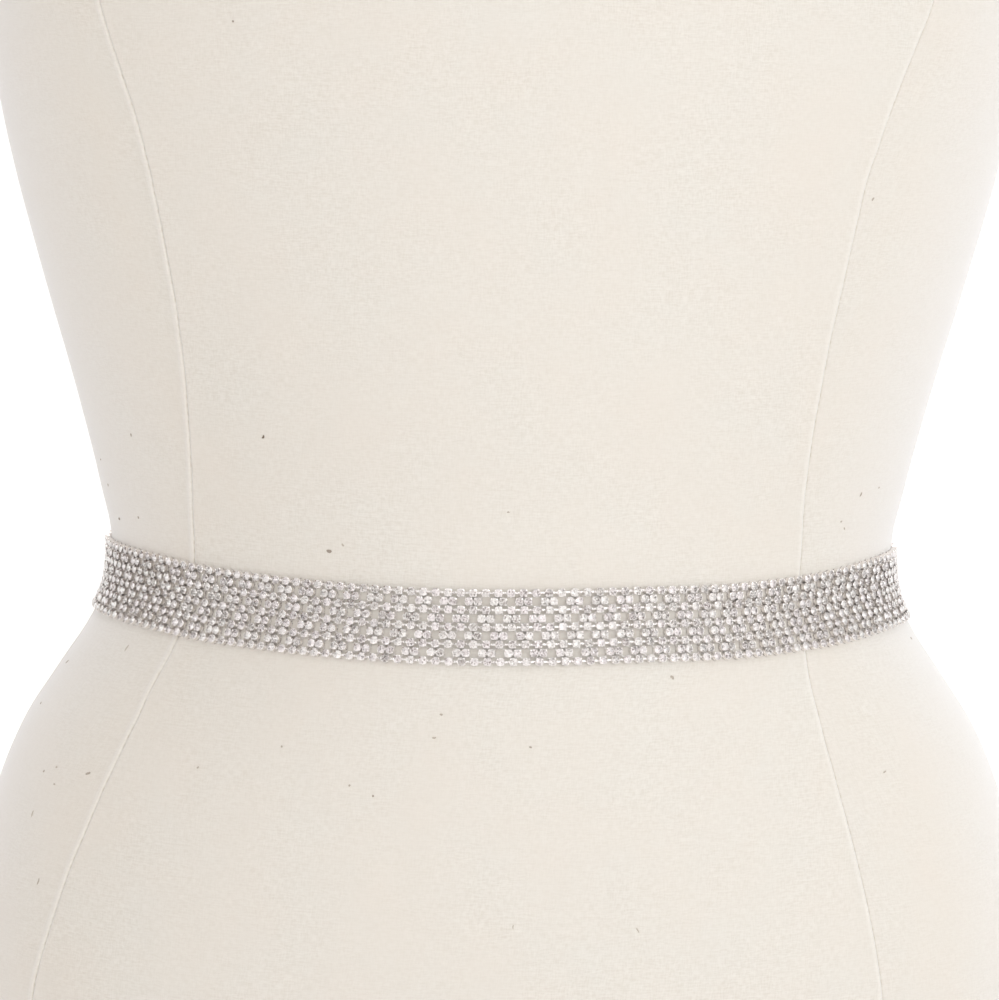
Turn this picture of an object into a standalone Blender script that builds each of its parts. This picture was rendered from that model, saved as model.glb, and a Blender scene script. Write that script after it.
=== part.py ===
"""Bridal sash of linked crystal cups, worn round the waist of a limbless dress form.

Metres, +Z up. The front of the form faces -Y and the wearer's left is at +X. The origin is on
the floor under the middle of the whole object. A place on the form is given by its turn, the
angle round it from the middle of the front, positive towards +X, and by its level, the height
above the waist line.
"""
import math
from collections import namedtuple

import bmesh
import bpy
from mathutils import Matrix, Vector

MM = 0.001

# Every piece keeps this gap to the piece that it touches on the real object.
SEAT_GAP = 0.3 * MM

# ---- Dress form ------------------------------------------------------------------------------
BASE_THICKNESS = 18.0 * MM
BASE_INSET = 2.0 * MM
BASE_EDGE_ROUND = 2.0 * MM
FORM_TURN_STEPS = 48
RING_SPACING = 16.0 * MM
WAIST_RING_SPACING = 6.0 * MM
WAIST_ZONE = 32.0 * MM

# Horizontal sections of the form, in millimetres. level is above the waist line; half_width, front
# and back are the reaches from the form's upright axis; side is the depth of the ellipse that
# the section follows where it turns the sides, so front and back beyond it come to a soft peak.
Section = namedtuple("Section", "level half_width front back side")
SECTIONS = [
    Section(-225.0, 165.0, 112.0, 113.0, 104.0),
    Section(-178.0, 172.0, 118.0, 119.0, 110.0),
    Section(-128.0, 172.5, 119.5, 122.0, 112.0),
    Section(-78.0, 163.5, 116.0, 118.0, 106.0),
    Section(-48.0, 152.5, 111.5, 110.5, 97.0),
    Section(-28.0, 140.0, 107.6, 104.0, 89.5),
    Section(-13.0, 130.3, 104.0, 99.3, 84.0),
    Section(0.0, 125.0, 101.6, 96.0, 81.0),
    Section(12.0, 124.2, 100.6, 94.5, 80.0),
    Section(28.0, 127.4, 101.0, 94.2, 80.5),
    Section(58.0, 135.0, 105.0, 96.0, 85.0),
    Section(98.0, 146.5, 111.0, 100.0, 93.0),
    Section(138.0, 157.0, 117.0, 105.0, 101.0),
    Section(178.0, 164.5, 121.3, 109.0, 108.0),
    Section(205.0, 167.5, 122.0, 111.3, 110.0),
    Section(235.0, 168.5, 118.5, 112.0, 109.0),
    Section(268.0, 167.5, 108.0, 111.0, 104.0),
    Section(300.0, 165.5, 93.0, 106.5, 95.0),
    Section(328.0, 161.0, 78.0, 98.0, 84.0),
    Section(348.0, 150.0, 66.5, 88.0, 73.0),
    Section(364.0, 128.0, 58.5, 79.0, 64.0),
    Section(379.0, 99.0, 54.0, 70.5, 59.0),
    Section(392.0, 76.0, 52.0, 63.5, 56.0),
    Section(407.0, 62.5, 51.0, 58.0, 54.0),
    Section(446.0, 56.5, 48.5, 53.0, 51.5),
]
FORM_FOOT = SECTIONS[0].level * MM
FORM_TOP = SECTIONS[-1].level * MM
NECK_SEAM = 398.0 * MM
WAIST_HEIGHT = BASE_THICKNESS + SEAT_GAP - FORM_FOOT

# The turned cap on the neck, in millimetres: height above its seat and overhang past the neck.
CapRing = namedtuple("CapRing", "height overhang")
NECK_CAP = [
    CapRing(0.0, 0.5),
    CapRing(1.5, 2.5),
    CapRing(7.0, 2.5),
    CapRing(10.0, 0.0),
    CapRing(12.0, -8.0),
    CapRing(13.5, -28.0),
]
CAP_TURN_STEPS = 40

# ---- Crystal band ----------------------------------------------------------------------------
ROWS = 9
ROW_PITCH = 2.6 * MM
BAND_EDGE_MARGIN = 0.15 * MM
BAND_HEIGHT = ROWS * ROW_PITCH + 2.0 * BAND_EDGE_MARGIN
BAND_SEAT = 0.45 * MM          # inside of the band above the form's cloth
VALLEY_THICKNESS = 1.2 * MM
CREST_THICKNESS = 2.1 * MM
CREST_HALF_WIDTH = 0.75 * MM
BAND_TURN_STEPS = 96
INNER_POINTS = 9

# The band lies a little lower in front than behind, and a little lower on the wearer's left.
BAND_LEVEL = 0.5 * MM
FRONT_DROP_SLOPE = math.tan(math.radians(1.7))
SIDE_DROP_SLOPE = math.tan(math.radians(-0.32))

# How the band wanders as it was laid by hand: degrees round the form, millimetres up.
Sway = namedtuple("Sway", "turn rise")
BAND_SWAY = [
    Sway(-180.0, 0.0),
    Sway(-100.0, 0.0),
    Sway(-62.0, 0.45),
    Sway(-43.0, -0.30),
    Sway(-14.0, -0.30),
    Sway(17.0, 0.35),
    Sway(36.0, -0.55),
    Sway(50.0, -0.30),
    Sway(72.0, 0.90),
    Sway(105.0, 0.0),
    Sway(180.0, 0.0),
]

# ---- Fastening at the middle of the back -----------------------------------------------------
# Distances along the band are measured from the middle of the back, lifts from its inside.
BAND_END = 11.0 * MM
BAR_WIDTH = 3.0 * MM
BAR_THICKNESS = 2.4 * MM
BAR_POINTS = 7

EYE_OUTER = (-7.4 * MM, -1.4 * MM)
EYE_HALF_HEIGHT = 6.5 * MM
EYE_WIRE = 1.4 * MM
EYE_LIFT = (1.5 * MM, 2.5 * MM)

HOOK_HALF_HEIGHT = 4.5 * MM
HOOK_SHEET = 0.7 * MM
HOOK_ROOT = 7.4 * MM
HOOK_FOLD = -4.5 * MM
HOOK_FOLD_STEPS = 7
HOOK_TIP = 1.5 * MM
HOOK_LIFT = (0.45 * MM, 3.6 * MM)


# ---- Smooth curves through short tables --------------------------------------------------------
class SmoothColumn:
    """Cubic curve through a table's points that never swings past them."""

    def __init__(self, places, values):
        self.places = list(places)
        self.values = list(values)
        self.slopes = self._slopes()

    def _slopes(self):
        steps = [b - a for a, b in zip(self.places, self.places[1:])]
        rates = [(b - a) / step for a, b, step in zip(self.values, self.values[1:], steps)]
        slopes = [rates[0]]
        for i in range(1, len(rates)):
            before, after = rates[i - 1], rates[i]
            if before * after <= 0.0:
                slopes.append(0.0)
                continue
            weight_before = 2.0 * steps[i] + steps[i - 1]
            weight_after = steps[i] + 2.0 * steps[i - 1]
            slopes.append((weight_before + weight_after)
                          / (weight_before / before + weight_after / after))
        slopes.append(rates[-1])
        return slopes

    def __call__(self, place):
        last = len(self.places) - 2
        i = 0
        while i < last and place > self.places[i + 1]:
            i += 1
        step = self.places[i + 1] - self.places[i]
        t = (place - self.places[i]) / step
        return (self.values[i] * (1.0 + 2.0 * t) * (1.0 - t) ** 2
                + self.slopes[i] * step * t * (1.0 - t) ** 2
                + self.values[i + 1] * t * t * (3.0 - 2.0 * t)
                - self.slopes[i + 1] * step * t * t * (1.0 - t))


def column(name, scale):
    levels = [row.level * MM for row in SECTIONS]
    return SmoothColumn(levels, [getattr(row, name) * scale for row in SECTIONS])


HALF_WIDTH = column("half_width", MM)
FRONT = column("front", MM)
BACK = column("back", MM)
SIDE = column("side", MM)
SWAY = SmoothColumn([math.radians(row.turn) for row in BAND_SWAY],
                    [row.rise * MM for row in BAND_SWAY])


# ---- The form's surface, and the band's place on it --------------------------------------------
def form_point(turn, level, inset=0.0):
    """Point on the form, or this far inside it in its own level."""
    toward_front = math.cos(turn)
    reach = FRONT(level) if toward_front >= 0.0 else BACK(level)
    depth = SIDE(level) + (reach - SIDE(level)) * toward_front ** 2 - inset
    x = (HALF_WIDTH(level) - inset) * math.sin(turn)
    return Vector((x, -depth * toward_front, WAIST_HEIGHT + level))


def form_rise(turn, level):
    """How the form's surface runs for each metre of height."""
    reach = 1.0 * MM
    return (form_point(turn, level + reach) - form_point(turn, level - reach)) / (2.0 * reach)


def form_normal(turn, level):
    """Direction straight out of the form."""
    small_turn = 0.005
    along = form_point(turn + small_turn, level) - form_point(turn - small_turn, level)
    return along.cross(form_rise(turn, level)).normalized()


def band_level(turn):
    """Level of the band's middle line."""
    place = form_point(turn, BAND_LEVEL)
    return BAND_LEVEL + FRONT_DROP_SLOPE * place.y + SIDE_DROP_SLOPE * place.x + SWAY(turn)


def band_point(turn, across, lift):
    """Point of the band: across is up the form from its middle line, lift is out from its inside."""
    middle = band_level(turn)
    level = middle + across / form_rise(turn, middle).length
    return form_point(turn, level) + form_normal(turn, level) * (BAND_SEAT + lift)


def back_turn(along):
    """Turn of a place this far along the band from the middle of the back, positive to -X."""
    reach = HALF_WIDTH(band_level(math.pi)) + BAND_SEAT
    return math.copysign(math.pi - abs(along) / reach, -along)


# ---- Mesh helpers --------------------------------------------------------------------------------
def ring_solid(name, rings, closed=False):
    """Closed solid through rings of equal point counts: capped at both ends, or a closed loop."""
    shape = bmesh.new()
    rows = [[shape.verts.new(point) for point in ring] for ring in rings]
    if closed:
        rows.append(rows[0])
    for lower, upper in zip(rows, rows[1:]):
        for i in range(len(lower)):
            j = (i + 1) % len(lower)
            shape.faces.new((lower[i], lower[j], upper[j], upper[i]))
    if not closed:
        shape.faces.new(list(reversed(rows[0])))
        shape.faces.new(rows[-1])
    bmesh.ops.triangulate(shape, faces=shape.faces, ngon_method="EAR_CLIP")
    bmesh.ops.recalc_face_normals(shape, faces=shape.faces)
    mesh = bpy.data.meshes.new(name)
    shape.to_mesh(mesh)
    shape.free()
    return mesh


def add_piece(name, mesh, material, smooth_degrees=40.0):
    mesh.materials.append(material)
    mesh.shade_smooth()
    mesh.set_sharp_from_angle(angle=math.radians(smooth_degrees))
    piece = bpy.data.objects.new(name, mesh)
    bpy.context.collection.objects.link(piece)
    return piece


def make_material(name, colour, roughness, metallic=0.0):
    material = bpy.data.materials.new(name)
    material.use_nodes = True
    shader = material.node_tree.nodes["Principled BSDF"]
    shader.inputs["Base Color"].default_value = (*colour, 1.0)
    shader.inputs["Roughness"].default_value = roughness
    shader.inputs["Metallic"].default_value = metallic
    return material


def spread(first, last, count):
    """Evenly spaced values, both ends included."""
    return [first + (last - first) * i / (count - 1) for i in range(count)]


# ---- Dress form ------------------------------------------------------------------------------
def form_levels(lowest, highest):
    """Ring levels: every table row between these two, with closer rings near the waist."""
    rows = [row.level * MM for row in SECTIONS]
    stops = [lowest] + [level for level in rows if lowest < level < highest] + [highest]
    levels = [lowest]
    for bottom, top in zip(stops, stops[1:]):
        near_waist = min(abs(bottom), abs(top)) < WAIST_ZONE
        spacing = WAIST_RING_SPACING if near_waist else RING_SPACING
        parts = math.ceil((top - bottom) / spacing - 1e-6)
        levels += spread(bottom, top, parts + 1)[1:]
    return levels


def form_ring(level, steps, inset=0.0, lift=0.0):
    ring = []
    for i in range(steps):
        point = form_point(math.tau * i / steps, level, inset)
        ring.append(point + Vector((0.0, 0.0, lift)))
    return ring


def build_form_part(name, lowest, highest, material):
    rings = [form_ring(level, FORM_TURN_STEPS) for level in form_levels(lowest, highest)]
    return add_piece(name, ring_solid(name, rings), material)


def build_form_base(material):
    """Board that closes the form's foot and stands on the floor."""
    inset, edge = BASE_INSET, BASE_EDGE_ROUND
    foot_to_floor = -(WAIST_HEIGHT + FORM_FOOT)
    profile = [
        (inset + edge, 0.0),
        (inset, edge),
        (inset, BASE_THICKNESS - edge),
        (inset + edge, BASE_THICKNESS),
    ]
    rings = [form_ring(FORM_FOOT, FORM_TURN_STEPS, ring_inset, foot_to_floor + height)
             for ring_inset, height in profile]
    return add_piece("form_base", ring_solid("form_base", rings), material)


def build_neck_cap(material):
    rings = [form_ring(FORM_TOP, CAP_TURN_STEPS, -ring.overhang * MM, SEAT_GAP + ring.height * MM)
             for ring in NECK_CAP]
    return add_piece("form_neck_cap", ring_solid("form_neck_cap", rings), material)


# ---- Sash --------------------------------------------------------------------------------------
def strip_solid(name, turns, profile):
    """Solid strip on the form: a closed profile of (across, lift) points run along the turns."""
    rings = [[band_point(turn, across, lift) for across, lift in profile] for turn in turns]
    return ring_solid(name, rings)


def band_profile():
    """Plain inside, and an outside with one round-shouldered ridge for each row of cups."""
    edge = BAND_HEIGHT / 2.0
    outside = [(-edge, VALLEY_THICKNESS)]
    for row in range(ROWS):
        middle = (row - (ROWS - 1) / 2.0) * ROW_PITCH
        outside.append((middle - CREST_HALF_WIDTH, CREST_THICKNESS))
        outside.append((middle + CREST_HALF_WIDTH, CREST_THICKNESS))
        if row < ROWS - 1:
            outside.append((middle + ROW_PITCH / 2.0, VALLEY_THICKNESS))
    outside.append((edge, VALLEY_THICKNESS))
    inside = [(across, 0.0) for across in spread(edge, -edge, INNER_POINTS)]
    return outside + inside


def plain_profile(thickness):
    edge = BAND_HEIGHT / 2.0
    outside = [(across, thickness) for across in spread(-edge, edge, BAR_POINTS)]
    inside = [(across, 0.0) for across in spread(edge, -edge, BAR_POINTS)]
    return outside + inside


def build_crystal_band(material):
    turns = spread(back_turn(BAND_END), back_turn(-BAND_END), BAND_TURN_STEPS + 1)
    return add_piece("crystal_band", strip_solid("crystal_band", turns, band_profile()), material)


def build_end_bar(name, side, material):
    """Metal bar along one end of the band; side is +1 at -X and -1 at +X."""
    outer = BAND_END - SEAT_GAP
    turns = [back_turn(side * (outer - BAR_WIDTH)), back_turn(side * outer)]
    mesh = strip_solid(name, turns, plain_profile(BAR_THICKNESS))
    return add_piece(name, mesh, material)


def clasp_frame():
    """Axes of the clasp at the middle of the back: along to -X, up the form, and out of it."""
    level = band_level(math.pi)
    up = form_rise(math.pi, level).normalized()
    out = form_normal(math.pi, level)
    along = up.cross(out).normalized()
    place = form_point(math.pi, level) + out * BAND_SEAT
    return Matrix.Translation(place) @ Matrix((along, up, out)).transposed().to_4x4()


def eye_outline(inset):
    """Corners of the eye's rectangle, or of the window that far inside it."""
    left, right = EYE_OUTER[0] + inset, EYE_OUTER[1] - inset
    half = EYE_HALF_HEIGHT - inset
    return [(left, -half), (right, -half), (right, half), (left, half)]


def build_clasp_eye(material):
    """Flat wire loop on the bar at +X."""
    frame = clasp_frame()
    low, high = EYE_LIFT
    rings = []
    for outer, inner in zip(eye_outline(0.0), eye_outline(EYE_WIRE)):
        corners = ((*outer, low), (*outer, high), (*inner, high), (*inner, low))
        rings.append([frame @ Vector(corner) for corner in corners])
    return add_piece("clasp_eye", ring_solid("clasp_eye", rings, closed=True), material)


def hook_path():
    """The hook's plate seen from its edge: pairs of (along, lift) on its outer and inner face."""
    low, high = HOOK_LIFT
    outer_radius = (high - low) / 2.0
    inner_radius = outer_radius - HOOK_SHEET
    fold_middle = (HOOK_FOLD + outer_radius, low + outer_radius)
    path = [
        ((HOOK_ROOT, low), (HOOK_ROOT - HOOK_SHEET, low)),
        ((HOOK_ROOT, high), (HOOK_ROOT - HOOK_SHEET, high - HOOK_SHEET)),
    ]
    for angle in spread(0.5 * math.pi, 1.5 * math.pi, HOOK_FOLD_STEPS):
        path.append(tuple((fold_middle[0] + radius * math.cos(angle),
                           fold_middle[1] + radius * math.sin(angle))
                          for radius in (outer_radius, inner_radius)))
    path.append(((HOOK_TIP, low), (HOOK_TIP, low + HOOK_SHEET)))
    return path


def build_clasp_hook(material):
    """Folded plate on the bar at -X; its fold passes through the eye and back under its wire."""
    frame = clasp_frame()
    half = HOOK_HALF_HEIGHT
    rings = []
    for outer, inner in hook_path():
        corners = ((outer, -half), (outer, half), (inner, half), (inner, -half))
        rings.append([frame @ Vector((along, height, lift)) for (along, lift), height in corners])
    return add_piece("clasp_hook", ring_solid("clasp_hook", rings), material)


def build_sash(crystal, silver):
    build_crystal_band(crystal)
    build_end_bar("end_bar_eye_side", -1, silver)
    build_end_bar("end_bar_hook_side", 1, silver)
    build_clasp_eye(silver)
    build_clasp_hook(silver)


def main():
    for leftover in list(bpy.data.objects):
        bpy.data.objects.remove(leftover)
    crystal = make_material("crystal", (0.84, 0.83, 0.81), 0.15, metallic=0.6)
    silver = make_material("silver", (0.80, 0.79, 0.77), 0.22, metallic=1.0)
    linen = make_material("linen", (0.86, 0.82, 0.74), 0.85)
    board = make_material("board", (0.70, 0.56, 0.40), 0.55)
    build_form_part("form_body", FORM_FOOT, NECK_SEAM, linen)
    build_form_part("form_neck", NECK_SEAM + SEAT_GAP, FORM_TOP, linen)
    build_form_base(board)
    build_neck_cap(board)
    build_sash(crystal, silver)


main()
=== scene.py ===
"""Looks of a bridal sash of linked crystal cups, on a limbless dress form covered in linen.

Metres, +Z up, the front of the form faces -Y. A place on the form is its turn, the angle round it
from the middle of the front, positive towards +X, and its level above the waist line. A place on
the band is how far along it from the middle of the front, how far across it from its middle line,
and its lift out from the band's inside.
"""
import math

import bmesh
import bpy
import numpy as np
from mathutils import Matrix, Vector


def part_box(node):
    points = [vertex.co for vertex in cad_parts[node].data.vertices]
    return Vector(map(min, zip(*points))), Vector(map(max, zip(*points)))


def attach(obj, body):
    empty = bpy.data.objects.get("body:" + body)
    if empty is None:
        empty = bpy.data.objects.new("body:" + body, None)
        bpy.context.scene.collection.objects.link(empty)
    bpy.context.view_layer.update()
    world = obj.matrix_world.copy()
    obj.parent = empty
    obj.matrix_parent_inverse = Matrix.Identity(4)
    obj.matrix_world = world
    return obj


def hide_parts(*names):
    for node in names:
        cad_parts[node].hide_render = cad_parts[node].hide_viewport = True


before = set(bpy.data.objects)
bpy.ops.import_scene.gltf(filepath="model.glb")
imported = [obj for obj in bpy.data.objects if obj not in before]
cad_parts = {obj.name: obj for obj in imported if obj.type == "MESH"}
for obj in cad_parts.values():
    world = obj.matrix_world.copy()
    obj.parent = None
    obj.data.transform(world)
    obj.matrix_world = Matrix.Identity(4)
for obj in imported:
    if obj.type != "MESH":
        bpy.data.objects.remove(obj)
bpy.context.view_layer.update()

MM = 0.001

# ---- The frame's sizes that the looks follow ----
FORM_NODES = ("form_body", "form_neck")
FORM_FOOT = -225.0 * MM
WAIST_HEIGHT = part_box("form_body")[0].z - FORM_FOOT
NECK_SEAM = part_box("form_body")[1].z - WAIST_HEIGHT
NECK_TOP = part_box("form_neck")[1].z - WAIST_HEIGHT
SEAT_GAP = 0.3 * MM

ROWS = 9
ROW_PITCH = 2.6 * MM
BAND_SEAT = 0.45 * MM          # the band's inside above the linen
BAND_HEIGHT = 23.7 * MM
BAND_LEVEL = 0.5 * MM
FRONT_DROP_SLOPE = math.tan(math.radians(1.7))
SIDE_DROP_SLOPE = math.tan(math.radians(-0.32))
BAND_SWAY_TURN = (-180.0, -100.0, -62.0, -43.0, -14.0, 17.0, 36.0, 50.0, 72.0, 105.0, 180.0)
BAND_SWAY_RISE = (0.0, 0.0, 0.45, -0.30, -0.30, 0.35, -0.55, -0.30, 0.90, 0.0, 0.0)
BAND_END = 11.0 * MM           # each end of the band, from the middle of the back
END_BAR_WIDTH = 3.0 * MM
END_BAR_THICKNESS = 2.4 * MM
STRIP_MIDDLE = 0.9 * MM        # lift at which the band's length is measured

# ---- Cups, crystals and links ----
REPEAT = 7.6 * MM              # the net's pattern along the band
PATTERN_START = -0.6 * MM
PAIR_PITCH = 2.70 * MM         # the two cups side by side between open places
CUP_RADIUS = 1.31 * MM
CUP_WALL = 0.11 * MM
CUP_FOOT = -0.05 * MM
GIRDLE_LIFT = 1.15 * MM
STONE_RADIUS = 1.20 * MM
TABLE_SHARE = 0.58             # facets' corners, as shares of the stone's radius
STAR_SHARE = 0.82
LOW_STAR_SHARE = 0.34
CROWN_HEIGHT = 0.46 * MM
PAVILION_DEPTH = 1.04 * MM
CUP_SIDES = 12
PRONGS = 4
# Links of the net: half width, and lowest and highest lift.
BAR_SHAPE = (0.36 * MM, 0.30 * MM, 0.60 * MM)
BRIDGE_SHAPE = (0.55 * MM, -0.10 * MM, 0.80 * MM)
TIE_SHAPE = (0.09 * MM, -0.34 * MM, -0.06 * MM)


# ---- Smooth curves through short tables ----
class SmoothColumn:
    """Cubic curve through a table's points that never swings past them."""

    def __init__(self, places, values):
        self.places = np.asarray(places, float)
        self.values = np.asarray(values, float)
        steps = np.diff(self.places)
        rates = np.diff(self.values) / steps
        slopes = np.empty(len(self.places))
        slopes[0], slopes[-1] = rates[0], rates[-1]
        before, after = rates[:-1], rates[1:]
        weight_before = 2.0 * steps[1:] + steps[:-1]
        weight_after = steps[1:] + 2.0 * steps[:-1]
        turning = before * after <= 0.0
        safe_before = np.where(turning, 1.0, before)
        safe_after = np.where(turning, 1.0, after)
        mean = (weight_before + weight_after) / (weight_before / safe_before
                                                 + weight_after / safe_after)
        slopes[1:-1] = np.where(turning, 0.0, mean)
        self.slopes = slopes

    def __call__(self, place):
        place = np.asarray(place, float)
        i = np.clip(np.searchsorted(self.places, place) - 1, 0, len(self.places) - 2)
        step = self.places[i + 1] - self.places[i]
        t = np.clip((place - self.places[i]) / step, 0.0, 1.0)
        return (self.values[i] * (1.0 + 2.0 * t) * (1.0 - t) ** 2
                + self.slopes[i] * step * t * (1.0 - t) ** 2
                + self.values[i + 1] * t * t * (3.0 - 2.0 * t)
                - self.slopes[i + 1] * step * t * t * (1.0 - t))


def table_curve(rows):
    """Curve of a turn in degrees against a level in millimetres."""
    levels, turns = np.array(rows).T
    return SmoothColumn(levels * MM, np.radians(turns))


# ---- The form's surface, read back from its rings in the frame ----
def node_points(name):
    return np.array([vertex.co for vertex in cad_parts[name].data.vertices], float)


def read_sections():
    """Half width, front, back and side depth of every ring of the form's CAD nodes."""
    points = np.concatenate([node_points(name) for name in FORM_NODES])
    heights = np.round(points[:, 2], 5)
    table = []
    for height in np.unique(heights):
        ring = points[heights == height]
        half_width, front, back = ring[:, 0].max(), -ring[:, 1].min(), ring[:, 1].max()
        forward = ring[(ring[:, 1] < 0.0) & (ring[:, 0] > 0.0)]
        half_turn = forward[np.abs(forward[:, 0] - half_width * math.sqrt(0.5)).argmin()]
        side = -2.0 * half_turn[1] / math.sqrt(0.5) - front
        table.append((height - WAIST_HEIGHT, half_width, front, back, side))
    return np.array(table)


SECTIONS = read_sections()
HALF_WIDTH, FRONT, BACK, SIDE = (SmoothColumn(SECTIONS[:, 0], SECTIONS[:, i]) for i in (1, 2, 3, 4))
SWAY = SmoothColumn(np.radians(BAND_SWAY_TURN), np.array(BAND_SWAY_RISE) * MM)


def unit(vectors):
    return vectors / np.linalg.norm(vectors, axis=-1, keepdims=True)


def same_shape(*values):
    return np.broadcast_arrays(*(np.asarray(value, float) for value in values))


def form_point(turn, level, inset=0.0):
    turn, level, inset = same_shape(turn, level, inset)
    toward_front = np.cos(turn)
    reach = np.where(toward_front >= 0.0, FRONT(level), BACK(level))
    side = SIDE(level)
    depth = side + (reach - side) * toward_front ** 2 - inset
    x = (HALF_WIDTH(level) - inset) * np.sin(turn)
    return np.stack([x, -depth * toward_front, WAIST_HEIGHT + level], axis=-1)


def form_rise(turn, level):
    reach = 1.0 * MM
    return (form_point(turn, level + reach) - form_point(turn, level - reach)) / (2.0 * reach)


def form_normal(turn, level):
    small = 0.005
    along = form_point(turn + small, level) - form_point(turn - small, level)
    return unit(np.cross(along, form_rise(turn, level)))


def band_level(turn):
    place = form_point(turn, BAND_LEVEL)
    return (BAND_LEVEL + FRONT_DROP_SLOPE * place[..., 1] + SIDE_DROP_SLOPE * place[..., 0]
            + SWAY(turn))


def band_point(turn, across, lift):
    turn, across, lift = same_shape(turn, across, lift)
    middle = band_level(turn)
    level = middle + across / np.linalg.norm(form_rise(turn, middle), axis=-1)
    return form_point(turn, level) + form_normal(turn, level) * (BAND_SEAT + lift)[..., None]


ROUND_TURNS = np.linspace(-math.pi, math.pi, 7201)
ROUND_POINTS = band_point(ROUND_TURNS, 0.0, STRIP_MIDDLE)
ROUND_STEPS = np.linalg.norm(np.diff(ROUND_POINTS, axis=0), axis=1)
ROUND_RUN = np.concatenate([[0.0], np.cumsum(ROUND_STEPS)])
ROUND_RUN -= np.interp(0.0, ROUND_TURNS, ROUND_RUN)


def turn_at(place):
    return np.interp(place, ROUND_RUN, ROUND_TURNS)


def back_turn(along):
    """Turn of a place this far along the band from the middle of the back, positive to -X."""
    reach = HALF_WIDTH(band_level(math.pi)) + BAND_SEAT
    return math.copysign(math.pi - abs(along) / float(reach), -along)


BAND_FIRST = float(np.interp(back_turn(BAND_END), ROUND_TURNS, ROUND_RUN))
BAND_LAST = float(np.interp(back_turn(-BAND_END), ROUND_TURNS, ROUND_RUN))


def band_place(place, across):
    return band_point(turn_at(place), across, 0.0)


def band_axes(place, across):
    """Rows of (along, up, out) at places of the band."""
    small = 0.05 * MM
    along = unit(band_place(place + small, across) - band_place(place - small, across))
    up = band_place(place, across + small) - band_place(place, across - small)
    out = unit(np.cross(along, up))
    return np.stack([along, np.cross(out, along), out], axis=1)


# ---- Mesh helpers ----
def circle(radius, count, height, first=0.0):
    """Points round the middle; first is the share of a step before the first one."""
    angles = [math.tau * (k + first) / count for k in range(count)]
    return [(radius * math.cos(angle), radius * math.sin(angle), height) for angle in angles]


def outward(points, faces):
    """The same faces, wound so that every closed shell faces out."""
    shape = bmesh.new()
    corners = [shape.verts.new(point) for point in points]
    for face in faces:
        shape.faces.new([corners[i] for i in face])
    bmesh.ops.recalc_face_normals(shape, faces=shape.faces)
    shape.verts.index_update()
    turned = [[corner.index for corner in face.verts] for face in shape.faces]
    shape.free()
    return turned


def placed_object(name, data):
    thing = bpy.data.objects.new(name, data)
    bpy.context.scene.collection.objects.link(thing)
    return thing


def set_values(mesh, name, values):
    attribute = mesh.attributes.new(name, "FLOAT", "POINT")
    attribute.data.foreach_set("value", np.asarray(values, np.float32))


def make_piece(name, points, faces, materials, slots=None, sharp_degrees=None):
    """Mesh object of these points and faces; it is faceted where sharp_degrees is None."""
    mesh = bpy.data.meshes.new(name)
    mesh.from_pydata(np.asarray(points, float).tolist(), [], faces)
    for material in materials:
        mesh.materials.append(material)
    if slots is not None:
        mesh.polygons.foreach_set("material_index", np.asarray(slots, np.int32))
    if sharp_degrees is not None:
        mesh.shade_smooth()
        mesh.set_sharp_from_angle(angle=math.radians(sharp_degrees))
    piece = placed_object(name, mesh)
    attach(piece, "root")
    return piece


def copies(points, faces, origins, axes):
    """Points and faces of one template set at every place."""
    placed = origins[:, None, :] + np.einsum("pk,nkj->npj", points, axes)
    starts = np.arange(len(origins)) * len(points)
    set_faces = [[start + i for i in face] for start in starts.tolist() for face in faces]
    return placed.reshape(-1, 3), set_faces


def joined(parts):
    """One list of points and faces out of several."""
    points, faces, start = [], [], 0
    for part_points, part_faces in parts:
        points.append(np.asarray(part_points, float).reshape(-1, 3))
        faces += [[start + i for i in face] for face in part_faces]
        start += len(points[-1])
    return np.concatenate(points), faces


def ring_faces(rings, sides, closed_path=False):
    """Faces of a tube of rings, one after another in the point list."""
    faces = []
    for j in range(rings if closed_path else rings - 1):
        low, high = j * sides, (j + 1) % rings * sides
        for i in range(sides):
            k = (i + 1) % sides
            faces.append([low + i, low + k, high + k, high + i])
    if not closed_path:
        faces.append(list(range(sides))[::-1])
        faces.append([(rings - 1) * sides + i for i in range(sides)])
    return faces


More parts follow.
